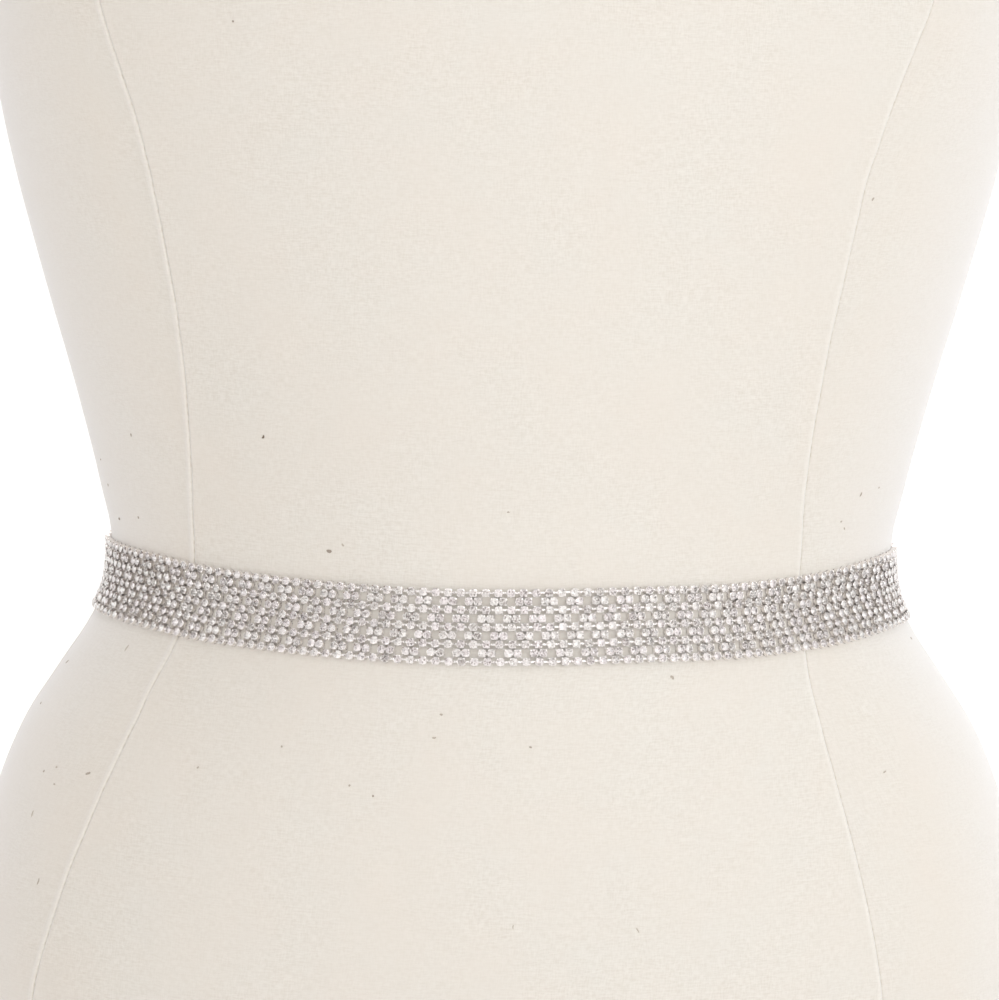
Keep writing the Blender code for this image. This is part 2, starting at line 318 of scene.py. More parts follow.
# ---- Material helpers ----
class Nodes:
    """Short hand for building the node tree of a material or of the world."""

    def __init__(self, owner):
        owner.use_nodes = True
        self.owner = owner
        self.tree = owner.node_tree

    def add(self, kind, inputs=None, **settings):
        node = self.tree.nodes.new(kind)
        for key, value in settings.items():
            setattr(node, key, value)
        for key, value in (inputs or {}).items():
            self.feed(node, key, value)
        return node

    def feed(self, node, key, value):
        socket = node.inputs[key]
        if isinstance(value, bpy.types.NodeSocket):
            self.tree.links.new(value, socket)
        else:
            socket.default_value = value

    def math(self, operation, *values):
        return self.add("ShaderNodeMath", dict(enumerate(values)), operation=operation).outputs[0]

    def plus(self, first, second):
        return self.math("ADD", first, second)

    def times(self, first, second):
        return self.math("MULTIPLY", first, second)

    def vector(self, operation, *values, output="Vector"):
        node = self.add("ShaderNodeVectorMath", dict(enumerate(values)), operation=operation)
        return node.outputs[output]

    def noise(self, vector, scale, detail=3.0, roughness=0.5, distortion=0.0):
        return self.add("ShaderNodeTexNoise", {"Vector": vector, "Scale": scale, "Detail": detail,
                                               "Roughness": roughness,
                                               "Distortion": distortion}).outputs["Fac"]

    def stretched(self, vector, scale):
        return self.add("ShaderNodeMapping", {"Vector": vector, "Scale": scale}).outputs[0]

    def streaks(self, vector, scale, detail, *more):
        """Noise of another scale along each axis."""
        return self.noise(self.stretched(vector, scale), 1.0, detail, *more)

    def span(self, value, low, high, to_low=0.0, to_high=1.0, kind="LINEAR"):
        ends = {"Value": value, "From Min": low, "From Max": high,
                "To Min": to_low, "To Max": to_high}
        return self.add("ShaderNodeMapRange", ends, interpolation_type=kind).outputs[0]

    def mix(self, factor, first, second):
        node = self.add("ShaderNodeMix", {0: factor, 6: first, 7: second}, data_type="RGBA")
        return node.outputs[2]

    def bump(self, height, distance, strength=1.0, normal=None):
        inputs = {"Height": height, "Distance": distance, "Strength": strength}
        if normal is not None:
            inputs["Normal"] = normal
        return self.add("ShaderNodeBump", inputs).outputs[0]

    def attribute(self, name):
        return self.add("ShaderNodeAttribute", attribute_name=name).outputs["Fac"]

    def finish(self, **inputs):
        shader = self.tree.nodes["Principled BSDF"]
        for key, value in inputs.items():
            self.feed(shader, key.replace("_", " "), value)
        return self.owner


def material_nodes(name):
    return Nodes(bpy.data.materials.new(name))


def object_place(nodes):
    return nodes.add("ShaderNodeTexCoord").outputs["Object"]


# Linen: colours, the pitch of its threads and stitches, and the height shares of its relief.
THREAD_PITCH = 0.48 * MM
STITCH = 2.7 * MM
SLUB_TONE = 0.30
LINEN_WARM = (0.672, 0.629, 0.570, 1.0)
LINEN_COOL = (0.663, 0.635, 0.583, 1.0)
LINEN_PALE = (0.79, 0.765, 0.715, 1.0)
LINEN_SLUB = (0.525, 0.475, 0.40, 1.0)
LINEN_SEAM = (0.50, 0.43, 0.34, 1.0)
# Painted sheen: the pale grey that the linen's colour turns to where it is seen at a grazing angle.
LINEN_PAINTED_SHEEN = (0.705, 0.696, 0.688, 1.0)
WEAVE_RELIEF = 0.30
SLUB_RELIEF = 0.60


def make_linen():
    """Ivory plain-woven linen, with slubs across and along and stitched seams. A painted highlight
    lies on the raised allowance beside each seam, and a painted sheen makes the colour paler and
    greyer at grazing angles.
    """
    nodes = material_nodes("linen_canvas")
    cloth = nodes.add("ShaderNodeUVMap", uv_map="cloth").outputs[0]
    threads = nodes.stretched(cloth, (1.0 / THREAD_PITCH, 1.0 / THREAD_PITCH, 1.0))
    wander = nodes.streaks(cloth, (70.0, 260.0, 1.0), 2.0)
    parts = nodes.add("ShaderNodeSeparateXYZ", {"Vector": threads})
    warp_place = nodes.plus(parts.outputs[0], nodes.times(wander, 0.9))
    weft_place = nodes.plus(parts.outputs[1], nodes.times(wander, 0.7))
    warp_wave = nodes.math("SINE", nodes.times(warp_place, math.pi))
    weft_wave = nodes.math("SINE", nodes.times(weft_place, math.pi))
    lifted = nodes.span(nodes.times(warp_wave, weft_wave), -0.5, 0.5)
    weave = nodes.add("ShaderNodeMix", {0: lifted, 2: nodes.math("ABSOLUTE", weft_wave),
                                        3: nodes.math("ABSOLUTE", warp_wave)}).outputs[0]

    slubs_across = nodes.streaks(cloth, (420.0, 2000.0, 1.0), 1.0, 0.5)
    slubs_long = nodes.streaks(cloth, (110.0, 1300.0, 1.0), 1.0, 0.5)
    slubs_up = nodes.streaks(cloth, (2000.0, 420.0, 1.0), 1.0, 0.5)
    slubs = nodes.plus(nodes.span(slubs_across, 0.38, 0.62, -0.45, 0.45),
                       nodes.plus(nodes.span(slubs_long, 0.36, 0.64, -0.20, 0.20),
                                  nodes.span(slubs_up, 0.38, 0.62, -0.35, 0.35)))
    patches = nodes.span(nodes.noise(cloth, 24.0, 3.0, 0.6), 0.35, 0.62, 0.35, 1.0)
    slubs = nodes.times(slubs, patches)
    mottle = nodes.noise(cloth, 26.0, 4.0, 0.6)
    colour = nodes.mix(nodes.span(mottle, 0.3, 0.7), LINEN_WARM, LINEN_COOL)
    colour = nodes.mix(nodes.span(slubs, 0.0, 1.0, 0.0, SLUB_TONE), colour, LINEN_PALE)
    colour = nodes.mix(nodes.span(slubs, 0.0, -1.0, 0.0, SLUB_TONE), colour, LINEN_SLUB)

    gap = nodes.attribute("seam_distance")
    allowance_highlight = nodes.attribute("seam_allowance_highlight")
    cloth_parts = nodes.add("ShaderNodeSeparateXYZ", {"Vector": cloth})
    stitch = nodes.math("SINE", nodes.times(cloth_parts.outputs[1], math.tau / STITCH))
    uneven = nodes.streaks(cloth, (40.0, 210.0, 1.0), 2.0)
    stitched = nodes.times(nodes.span(stitch, -0.6, 0.9, 0.35, 1.0),
                           nodes.span(uneven, 0.38, 0.62, 0.25, 1.0))
    seam = nodes.times(nodes.span(gap, 0.05, 0.40, 1.0, 0.0), stitched)
    # Painted highlight: the raised allowance beside each seam is mixed towards the pale linen
    # colour, as if that ridge caught the light.
    colour = nodes.mix(nodes.times(allowance_highlight, 0.35), colour, LINEN_PALE)
    colour = nodes.mix(nodes.times(seam, 0.75), colour, LINEN_SEAM)
    # Painted sheen: where the surface is seen at a grazing angle, its colour is mixed towards a
    # pale grey that stands in for the cloth's sheen against the bright backdrop.
    facing = nodes.add("ShaderNodeLayerWeight", {"Blend": 0.5}).outputs["Facing"]
    colour = nodes.mix(nodes.span(facing, 0.35, 0.85, 0.0, 0.85), colour, LINEN_PAINTED_SHEEN)

    relief = nodes.plus(nodes.times(weave, WEAVE_RELIEF), nodes.times(slubs, SLUB_RELIEF))
    puckers = nodes.streaks(cloth, (130.0, 380.0, 1.0), 2.0)
    near_seam = nodes.span(gap, 0.4, 4.5, 1.0, 0.0)
    fine = nodes.bump(relief, 0.10 * MM, 0.5)
    normal = nodes.bump(nodes.times(near_seam, puckers), 0.6 * MM, 0.8, fine)
    return nodes.finish(Base_Color=colour, Roughness=0.86, Specular_IOR_Level=0.25,
                        Sheen_Weight=0.24, Sheen_Roughness=0.45, Normal=normal)


def make_silver(name, roughness, bright, dull):
    """Polished silver plate with fine handling marks."""
    nodes = material_nodes(name)
    place = object_place(nodes)
    haze = nodes.noise(place, 900.0, 3.0)
    marks = nodes.streaks(place, (2500.0, 2500.0, 14000.0), 2.0)
    colour = nodes.mix(nodes.span(haze, 0.35, 0.75), bright, dull)
    rough = nodes.span(haze, 0.3, 0.8, roughness * 0.7, roughness * 1.5)
    return nodes.finish(Base_Color=colour, Metallic=1.0, Roughness=rough,
                        Normal=nodes.bump(marks, 0.01 * MM, 0.25))


def make_crystal():
    """Clear cut glass with the faintest lilac cast and polishing haze."""
    nodes = material_nodes("clear_crystal")
    place = object_place(nodes)
    haze = nodes.noise(place, 700.0, 2.0)
    rough = nodes.span(haze, 0.4, 0.9, 0.0, 0.06)
    tint = nodes.mix(nodes.span(nodes.noise(place, 190.0, 0.0), 0.4, 0.6),
                     (1.0, 0.982, 1.0, 1.0), (0.988, 1.0, 0.986, 1.0))
    return nodes.finish(Base_Color=tint, Roughness=rough, IOR=1.62, Transmission_Weight=1.0)


# Grain of the crinkles, of the painted dark specks and of their patches, for each metre, and where
# a painted speck ends.
CRINKLE_GRAIN = 2400.0
PAINTED_SPECK_GRAIN = 2800.0
PAINTED_SPECK_PATCHES = 330.0
PAINTED_SPECK_EDGE = (0.545, 0.605)


def make_silver_with_painted_specks(name, bright, dark, least, most):
    """Satin silver, crinkled, with painted dark reflections: fine dark specks mixed into its
    colour, few in some patches and many in others.
    """
    nodes = material_nodes(name)
    place = object_place(nodes)
    crinkle = nodes.noise(place, CRINKLE_GRAIN, 1.0)
    painted_speck = nodes.noise(place, PAINTED_SPECK_GRAIN, 1.0)
    plenty = nodes.noise(place, PAINTED_SPECK_PATCHES, 0.0)
    share = nodes.plus(painted_speck, nodes.span(plenty, 0.35, 0.65, least, most))
    # Painted reflection: the dark specks stand in for facets that mirror dark surroundings.
    colour = nodes.mix(nodes.span(share, *PAINTED_SPECK_EDGE), bright, dark)
    rough = nodes.span(crinkle, 0.3, 0.8, 0.28, 0.34)
    return nodes.finish(Base_Color=colour, Metallic=1.0, Roughness=rough,
                        Normal=nodes.bump(crinkle, 0.05 * MM, 0.8))


def make_foil():
    """Foil behind the crystals, with painted dark reflections in its colour."""
    bright, dark = (1.0, 0.974, 0.962, 1.0), (0.31, 0.27, 0.25, 1.0)
    return make_silver_with_painted_specks("crystal_foil", bright, dark, -0.055, 0.028)


def make_link_silver():
    """Small bars between the cups, dull silver with many painted dark specks that stand in for
    reflection and shade.
    """
    bright, dark = (0.84, 0.81, 0.795, 1.0), (0.34, 0.30, 0.28, 1.0)
    return make_silver_with_painted_specks("silver_links", bright, dark, -0.005, 0.03)


def make_wood():
    """Clear-varnished beech: fine straight grain with short dark flecks."""
    nodes = material_nodes("varnished_beech")
    place = object_place(nodes)
    rings = nodes.streaks(place, (3.0, 60.0, 60.0), 5.0, 0.6, 1.2)
    flecks = nodes.streaks(place, (160.0, 1400.0, 1400.0), 1.0)
    pores = nodes.streaks(place, (60.0, 2600.0, 2600.0), 2.0)
    colour = nodes.mix(nodes.span(rings, 0.35, 0.68), (0.66, 0.46, 0.28, 1.0),
                       (0.52, 0.34, 0.19, 1.0))
    colour = nodes.mix(nodes.span(flecks, 0.66, 0.78, 0.0, 0.55), colour, (0.36, 0.21, 0.11, 1.0))
    relief = nodes.plus(nodes.times(pores, 0.6), nodes.times(rings, 0.4))
    return nodes.finish(Base_Color=colour, Roughness=nodes.span(pores, 0.3, 0.8, 0.28, 0.42),
                        Coat_Weight=0.35, Coat_Roughness=0.15,
                        Normal=nodes.bump(relief, 0.06 * MM, 0.4))


def make_lint():
    """Brown and grey matted fibre, from dark to nearly as pale as the linen."""
    nodes = material_nodes("brown_lint")
    tone = nodes.attribute("tone")
    shade = nodes.noise(object_place(nodes), 2600.0, 3.0)
    dark = nodes.mix(shade, (0.07, 0.05, 0.04, 1.0), (0.26, 0.20, 0.15, 1.0))
    colour = nodes.mix(tone, (0.60, 0.54, 0.46, 1.0), dark)
    return nodes.finish(Base_Color=colour, Roughness=0.9, Normal=nodes.bump(shade, 0.05 * MM, 0.6))


def make_floor_material():
    nodes = material_nodes("white_paper_floor")
    grain = nodes.noise(object_place(nodes), 220.0, 3.0)
    colour = nodes.mix(grain, (0.97, 0.97, 0.97, 1.0), (0.95, 0.95, 0.95, 1.0))
    return nodes.finish(Base_Color=colour, Roughness=0.9, Specular_IOR_Level=0.1,
                        Normal=nodes.bump(grain, 0.05 * MM, 0.2))


# ---- Linen cover of the form ----
# Seams as (level in millimetres, turn in degrees). The princess seams run into the side seam at
# SEAM_MEET, where it becomes the shoulder seam.
SEAM_MEET = 368.0
PANEL_TIP = 0.02                 # the side panels end this far below it
FRONT_SEAM_LEFT = [
    (-226, -58.5), (-150, -57.4), (-122, -56.2), (-105, -54.7), (-85, -53.1), (-71, -51.6),
    (-59, -50.6), (-47, -49.8), (-38, -49.6), (-29, -50.0), (-13, -49.8), (0, -49.7), (16, -49.3),
    (30, -48.0), (46, -46.4), (59, -45.3), (71, -44.4), (81, -43.9), (93, -43.4), (111, -43.3),
    (127, -43.4), (147, -44.3), (163, -45.9), (182, -47.9), (230, -50.5), (280, -54.0),
    (320, -61.0), (350, -76.0), (SEAM_MEET, -90.0),
]
FRONT_SEAM_RIGHT = [
    (-226, 46.5), (-150, 44.2), (-118, 43.4), (-92, 42.9), (-74, 42.3), (-55, 41.9), (-42, 42.2),
    (-33, 43.1), (-26, 43.8), (-19, 44.9), (-13, 46.0), (0, 47.4), (15, 47.9), (29, 46.6),
    (42, 45.8), (54, 45.2), (66, 44.9), (85, 44.4), (98, 44.4), (111, 44.4), (128, 44.5),
    (143, 45.6), (158, 47.1), (171, 48.9), (184, 50.8), (230, 53.5), (280, 56.0), (320, 62.0),
    (350, 76.0), (SEAM_MEET, 90.0),
]
BACK_SEAM = [
    (-226, 133.0), (-100, 136.0), (0, 140.0), (100, 139.0), (180, 136.0), (260, 132.0),
    (310, 124.0), (345, 108.0), (SEAM_MEET, 90.0),
]
EDGE_STEPS = (0.0, 0.2, 0.45, 0.8, 1.2, 1.7, 2.3, 3.2)
SEAM_DIP = 0.30
SEAM_DIP_WIDTH = 0.30
ALLOWANCE_RISE = 0.22          # the seam's allowance lies under the panel towards -X
ALLOWANCE_MIDDLE = 1.05
ALLOWANCE_WIDTH = 0.75
COLUMN_SPACING = 4.5 * MM
COVER_ROW_SPACING = 3.6 * MM
FINE_STEPS = 129               # points along a row, from which its length is measured


def constant_turn(degrees):
    return lambda level: np.full(np.shape(level), math.radians(degrees))


def seam_offset(distance, over_allowance):
    """How far the cloth stands off the form this many millimetres from its seam."""
    dip = -SEAM_DIP * np.exp(-(distance / SEAM_DIP_WIDTH) ** 2)
    rise = ALLOWANCE_RISE * np.exp(-((distance - ALLOWANCE_MIDDLE) / ALLOWANCE_WIDTH) ** 2)
    return (dip + rise * over_allowance) * MM


def cover_panel(left, right, lowest, highest, top_seam=False):
    """One panel between two seams: points, faces, cloth coordinates, distance to its seams in
    millimetres, and how much a seam's allowance lifts it, which also sets the painted highlight on
    that ridge."""
    rows = max(2, int(round((highest - lowest) / COVER_ROW_SPACING)))
    levels = np.linspace(lowest, highest, rows + 1)
    if top_seam:
        levels = np.unique(np.concatenate([levels, highest - np.array(EDGE_STEPS) * MM,
                                           [SEAM_MEET * MM]]))
    start, stop = left(levels), right(levels)
    fine = np.linspace(0.0, 1.0, FINE_STEPS)
    turns = start[:, None] + (stop - start)[:, None] * fine[None, :]
    line = form_point(turns, levels[:, None])
    run = np.concatenate([np.zeros((len(levels), 1)),
                          np.cumsum(np.linalg.norm(np.diff(line, axis=1), axis=2), axis=1)], axis=1)
    width = run[:, -1]
    columns = max(3, int(math.ceil(width.max() / COLUMN_SPACING)))
    edges = np.array(EDGE_STEPS) * MM
    inner = np.linspace(0.0, 1.0, columns + 1)[1:-1]
    points, cloth, distance, allowance_highlight = [], [], [], []
    for j, level in enumerate(levels):
        step = edges * min(1.0, width[j] / (2.2 * edges[-1]))
        middle = step[-1] + (width[j] - 2.0 * step[-1]) * inner
        place = np.concatenate([step, middle, width[j] - step[::-1]])
        turn = np.interp(place, run[j], turns[j])
        gap = np.minimum(place, width[j] - place)
        if top_seam:
            gap = np.minimum(gap, highest - level)
        gap = gap / MM
        over = (place > width[j] / 2.0).astype(float)
        rise = seam_offset(gap, over)[:, None]
        points.append(form_point(turn, level) + form_normal(turn, level) * rise)
        allowance_highlight.append(over * np.exp(-((gap - ALLOWANCE_MIDDLE) / ALLOWANCE_WIDTH) ** 2))
        cloth.append(np.stack([place - width[j] / 2.0, np.full(len(place), level)], axis=1))
        distance.append(gap)
    count = len(points[0])
    faces = [[j * count + i, j * count + i + 1, (j + 1) * count + i + 1, (j + 1) * count + i]
             for j in range(len(levels) - 1) for i in range(count - 1)]
    return (np.concatenate(points), faces, np.concatenate(cloth), np.concatenate(distance),
            np.concatenate(allowance_highlight))


def cover_panels():
    """All panels of the cover, round the form and up to its neck."""
    front_left, front_right = table_curve(FRONT_SEAM_LEFT), table_curve(FRONT_SEAM_RIGHT)
    back_right = table_curve(BACK_SEAM)
    back_left = table_curve([(level, -turn) for level, turn in BACK_SEAM])
    side_left, side_right = constant_turn(-90.0), constant_turn(90.0)
    middle_left, middle_right = constant_turn(-180.0), constant_turn(180.0)
    tip = (SEAM_MEET - PANEL_TIP) * MM
    return [
        cover_panel(front_left, front_right, FORM_FOOT, NECK_SEAM, True),
        cover_panel(front_right, side_right, FORM_FOOT, tip),
        cover_panel(side_right, back_right, FORM_FOOT, tip),
        cover_panel(back_right, middle_right, FORM_FOOT, NECK_SEAM, True),
        cover_panel(middle_left, back_left, FORM_FOOT, NECK_SEAM, True),
        cover_panel(back_left, side_left, FORM_FOOT, tip),
        cover_panel(side_left, front_left, FORM_FOOT, tip),
        cover_panel(middle_left, middle_right, NECK_SEAM + 0.1 * MM, NECK_TOP),
    ]


def build_cover(linen):
    panels = cover_panels()
    points, faces = joined([(panel[0], panel[1]) for panel in panels])
    piece = make_piece("linen_cover", points, faces, [linen], sharp_degrees=60.0)
    mesh = piece.data
    cloth = np.concatenate([panel[2] for panel in panels])
    corners = np.zeros(len(mesh.loops), np.int32)
    mesh.loops.foreach_get("vertex_index", corners)
    layer = mesh.uv_layers.new(name="cloth")
    layer.data.foreach_set("uv", cloth[corners].astype(np.float32).ravel())
    # The second value marks the painted highlight on each seam's raised allowance.
    for name, column in (("seam_distance", 3), ("seam_allowance_highlight", 4)):
        set_values(mesh, name, np.concatenate([panel[column] for panel in panels]))
    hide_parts(*FORM_NODES)


# Lint on the cover, as (turn and level of its middle in degrees and millimetres, its length and
# width in millimetres, its lean from level in degrees, how dark it is).
LINT = [
    (-24.5, 18.4, 1.8, 1.1, -4, 0.70), (-32.8, 52.2, 1.3, 0.7, 50, 1.00),
    (-73.3, 20.1, 1.5, 0.9, 6, 0.70), (60.1, 32.6, 1.6, 0.8, 59, 0.40),
    (22.9, -18.2, 1.5, 1.0, -43, 0.40), (-63.9, 22.2, 0.9, 0.8, -58, 0.55),
    (-58.8, -89.5, 2.2, 0.7, 75, 0.40), (-54.5, -54.9, 2.3, 0.8, 19, 0.45),
    (-7.7, -35.1, 1.3, 0.6, 3, 0.40), (-60.2, 48.6, 1.1, 0.8, 84, 0.45),
    (46.2, 125.5, 1.3, 0.7, 52, 0.40), (-60.6, -18.0, 2.6, 0.5, 69, 0.30),
    (-7.1, -28.3, 1.0, 0.7, -4, 0.40), (80.5, -16.1, 1.1, 1.0, -18, 0.35),
    (3.7, -37.5, 0.9, 0.6, -24, 0.50), (-29.5, 177.2, 0.7, 0.7, 79, 0.60),
    (-22.3, 20.5, 1.1, 0.7, -45, 0.30), (57.5, 22.2, 1.0, 0.7, -49, 0.30),
    (-75.4, 30.5, 1.0, 0.7, 80, 0.35), (56.1, 24.7, 0.9, 0.6, 16, 0.40),
    (-14.0, -53.0, 0.7, 0.7, 13, 0.50), (0.9, 32.1, 0.9, 0.5, 1, 0.45),
    (-16.9, -50.2, 0.7, 0.7, 53, 0.40), (-65.0, -57.1, 1.0, 0.8, 42, 0.40),
    (-26.2, -40.2, 0.7, 0.7, -55, 0.40), (-76.7, 38.4, 1.0, 0.6, 19, 0.40),
    (50.5, -50.6, 1.5, 0.5, 20, 0.35), (14.6, -91.9, 1.8, 0.4, -60, 0.25),
    (-36.7, -48.6, 0.8, 0.7, 45, 0.40), (1.7, -90.5, 1.4, 0.3, 85, 0.30),
    (-62.0, -55.1, 1.0, 0.7, 10, 0.25), (-61.0, -60.1, 1.1, 0.6, -5, 0.35),
    (-64.2, -70.2, 2.2, 0.6, 82, 0.25), (-79.5, -39.6, 0.9, 0.7, -60, 0.45),
    (-80.5, -26.6, 2.2, 0.6, 40, 0.40), (66.0, 33.9, 0.9, 0.6, 10, 0.25),
    (120.0, 60.4, 1.1, 0.6, 30, 0.40), (-140.0, -59.6, 1.3, 0.7, -40, 0.40),
    (165.0, 120.3, 1.0, 0.6, 70, 0.40), (-110.0, 150.3, 1.2, 0.6, 15, 0.40),
]
LINT_SIDES = 8
LINT_RINGS = 9
LINT_THICKNESS = 0.22 * MM
LINT_LIFT = 0.3 * LINT_THICKNESS
LINT_BEND = 0.15


def build_lint(material):
    """Flat matted fibres that lie on the cloth."""
    chance = np.random.default_rng(11)
    shares = np.linspace(-1.0, 1.0, LINT_RINGS)
    angles = np.arange(LINT_SIDES) * math.tau / LINT_SIDES
    parts, tones = [], []
    for turn_degrees, level, length, width, lean_degrees, tone in LINT:
        turn, lean = math.radians(turn_degrees), math.radians(lean_degrees)
        out = form_normal(turn, level * MM)
        side = unit(np.cross([0.0, 0.0, 1.0], out))
        along = side * math.cos(lean) + np.cross(out, side) * math.sin(lean)
        across = np.cross(out, along)
        middle = form_point(turn, level * MM) + out * LINT_LIFT
        bend = chance.uniform(-LINT_BEND, LINT_BEND)
        rings = []
        for share in shares:
            girth = 0.15 + 0.85 * math.sqrt(max(0.0, 1.0 - share * share))
            heart = (middle + along * (share * length * MM / 2.0)
                     + across * (bend * (1.0 - share * share) * length * MM))
            spread = girth * width * MM / 2.0 * chance.uniform(0.7, 1.15, LINT_SIDES)
            lift = girth * LINT_THICKNESS / 2.0
            rings.append(heart + across * (spread * np.cos(angles))[:, None]
                         + out * (lift * np.sin(angles))[:, None])
        parts.append((np.concatenate(rings), ring_faces(LINT_RINGS, LINT_SIDES)))
        tones += [tone] * (LINT_RINGS * LINT_SIDES)
    points, faces = joined(parts)
    piece = make_piece("cover_lint", points, outward(points, faces), [material], sharp_degrees=80.0)
    set_values(piece.data, "tone", tones)


# ---- Board and neck cap ----
TURNED_STEPS = 192
BASE_INSET = 2.0 * MM
BASE_ROUND = 2.0 * MM
NECK_CAP_HEIGHT = (0.0, 1.5, 7.0, 10.0, 12.0, 13.5)
NECK_CAP_OVERHANG = (0.5, 2.5, 2.5, 0.0, -8.0, -28.0)


def outline_ring(level, inset, height):
    turns = np.arange(TURNED_STEPS) * math.tau / TURNED_STEPS
    ring = form_point(turns, level, inset)
    ring[:, 2] = height
    return ring


def build_turned(name, rings, material, node):
    points = np.concatenate(rings)
    faces = outward(points, ring_faces(len(rings), TURNED_STEPS))
    piece = make_piece(name, points, faces, [material], sharp_degrees=35.0)
    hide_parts(node)


def build_board(material):
    low, high = (corner.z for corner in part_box("form_base"))
    quarter = np.linspace(0.0, math.pi / 2.0, 6)
    rings = []
    for start, rise, angles in ((low, 1.0, quarter), (high, -1.0, quarter[::-1])):
        for angle in angles:
            inset = BASE_INSET + BASE_ROUND * (1.0 - math.sin(angle))
            height = start + rise * BASE_ROUND * (1.0 - math.cos(angle))
            rings.append(outline_ring(FORM_FOOT, inset, height))
    build_turned("base_board", rings, material, "form_base")


def build_neck_cap(material):
    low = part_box("form_neck_cap")[0].z
    heights = (0.0, 0.4, 0.9, 1.5, 2.5, 4.0, 5.5, 7.0, 8.2, 9.2, 10.0, 10.7, 11.4, 12.0, 12.6, 13.1,
               13.5)
    overhang = SmoothColumn(NECK_CAP_HEIGHT, NECK_CAP_OVERHANG)
    rings = [outline_ring(NECK_TOP, -float(overhang(height)) * MM, low + height * MM)
             for height in heights]
    build_turned("neck_cap", rings, material, "form_neck_cap")


# ---- The net's pattern ----
def lattice():
    """Cups of the regular net, as (place along the band, row counted from the lower edge)."""
    cups = []
    margin = CUP_RADIUS + 0.1 * MM
    low, high = BAND_FIRST + margin, BAND_LAST - margin
    first = int(math.floor((low - PATTERN_START) / REPEAT)) - 1
    last = int(math.ceil((high - PATTERN_START) / REPEAT)) + 1
    for repeat in range(first, last + 1):
        origin = PATTERN_START + repeat * REPEAT
        for row in range(ROWS):
            if row % 2 == 0:
                places = (origin, origin + REPEAT / 2.0)
            else:
                shift = 0.0 if row % 4 == 1 else REPEAT / 2.0
                middle = origin + REPEAT / 2.0 + shift
                places = (middle - PAIR_PITCH / 2.0, middle + PAIR_PITCH / 2.0)
            cups += [(place, row) for place in places if low <= place <= high]
    single = set((round(place, 7), row) for place, row in cups)
    return sorted(single, key=lambda cup: (cup[1], cup[0]))


def cup_across(row):
    return (row - (ROWS - 1) / 2.0) * ROW_PITCH


# How far the flexible net has slid along the band, in millimetres, in rows 1, 3, 5 and 7, at places
# along it in millimetres.
SLIDE_PLACES = (-210, -110, -90, -70, -50, -30, -10, 10, 30, 50, 70, 90, 110, 210)
SLIDES = [
    (0, 1.0, 1.15, 1.1, 1.1, 0.8, 0.65, 0.55, 0.4, 0.2, -0.25, -0.4, -0.4, 0),
    (0, -1.1, -0.8, -0.25, 0.4, 0.3, 0.15, 0.35, 0.35, 1.0, 1.4, 1.7, 1.7, 0),
    (0, -1.5, -1.3, -1.25, -0.8, 0.15, 0.1, 0.35, 0.5, 1.35, 2.8, 3.3, 3.3, 0),
    (0, -1.0, -0.5, -0.6, -0.4, 0.0, 0.0, 0.1, 0.6, 1.35, 1.7, 1.7, 1.7, 0),
]
SLIDE_CURVES = [SmoothColumn(np.array(SLIDE_PLACES) * MM, np.array(row) * MM) for row in SLIDES]


def slid(place, row):
    """Where a cup of the regular pattern lies along the band once the net has slid."""
    lower = min(max((row - 1) // 2, 0), len(SLIDE_CURVES) - 2)
    share = (row - 1) / 2.0 - lower
    low, high = SLIDE_CURVES[lower](place), SLIDE_CURVES[lower + 1](place)
    return float(place + low + (high - low) * share)


def cup_places(cups):
    """Places of cups along and across the band."""
    along = np.array([slid(*cup) for cup in cups])
    return along, np.array([cup_across(row) for place, row in cups])


# ---- Crystals ----
def crystal_template():
    """Round brilliant: table and crown in glass, and the pavilion's facets in foil."""
    radius, table = STONE_RADIUS, STONE_RADIUS * TABLE_SHARE
    star, low_star = STAR_SHARE * radius, LOW_STAR_SHARE * radius
    half = math.cos(math.tau / 16.0)
    star_height = CROWN_HEIGHT * (radius - star * half) / (radius - table)
    low_height = -PAVILION_DEPTH * (1.0 - low_star * half / radius)
    points = circle(table, 8, GIRDLE_LIFT + CROWN_HEIGHT, 0.5)
    points += circle(star, 8, GIRDLE_LIFT + star_height)
    points += circle(radius, 16, GIRDLE_LIFT)
    points += circle(low_star, 8, GIRDLE_LIFT + low_height)
    points += [(0.0, 0.0, GIRDLE_LIFT - PAVILION_DEPTH)]
    tops, stars, girdle, lows, culet = 0, 8, 16, 32, 40
    faces, slots = [list(range(8))], [0]
    for k in range(8):
        n, m = (k + 1) % 8, (k - 1) % 8
        faces += [[tops + m, tops + k, stars + k],
                  [tops + k, stars + k, girdle + 2 * k + 1, stars + n],
                  [stars + k, girdle + 2 * k, girdle + 2 * k + 1],
                  [stars + k, girdle + (2 * k - 1) % 16, girdle + 2 * k]]
        slots += [0, 0, 0, 0]
        faces += [[culet, lows + k, girdle + 2 * k + 1, lows + n],
                  [lows + k, girdle + 2 * k, girdle + 2 * k + 1],
                  [lows + k, girdle + (2 * k - 1) % 16, girdle + 2 * k]]
        slots += [1, 1, 1]
    order = outward(points, faces)
    return np.array(points), order, slots


def tilted(axes, spin, lean, lean_turn):
    """Axes turned about their own out axis by spin, then leaned by a small angle."""
    along, up, out = axes[:, 0], axes[:, 1], axes[:, 2]
    tip = along * np.cos(lean_turn)[:, None] + up * np.sin(lean_turn)[:, None]
    new_out = unit(out + tip * np.tan(lean)[:, None])
    new_along = unit(np.cross(np.cross(new_out, along), new_out))
    new_up = np.cross(new_out, new_along)
    turned = new_along * np.cos(spin)[:, None] + new_up * np.sin(spin)[:, None]
    return np.stack([turned, np.cross(new_out, turned), new_out], axis=1)


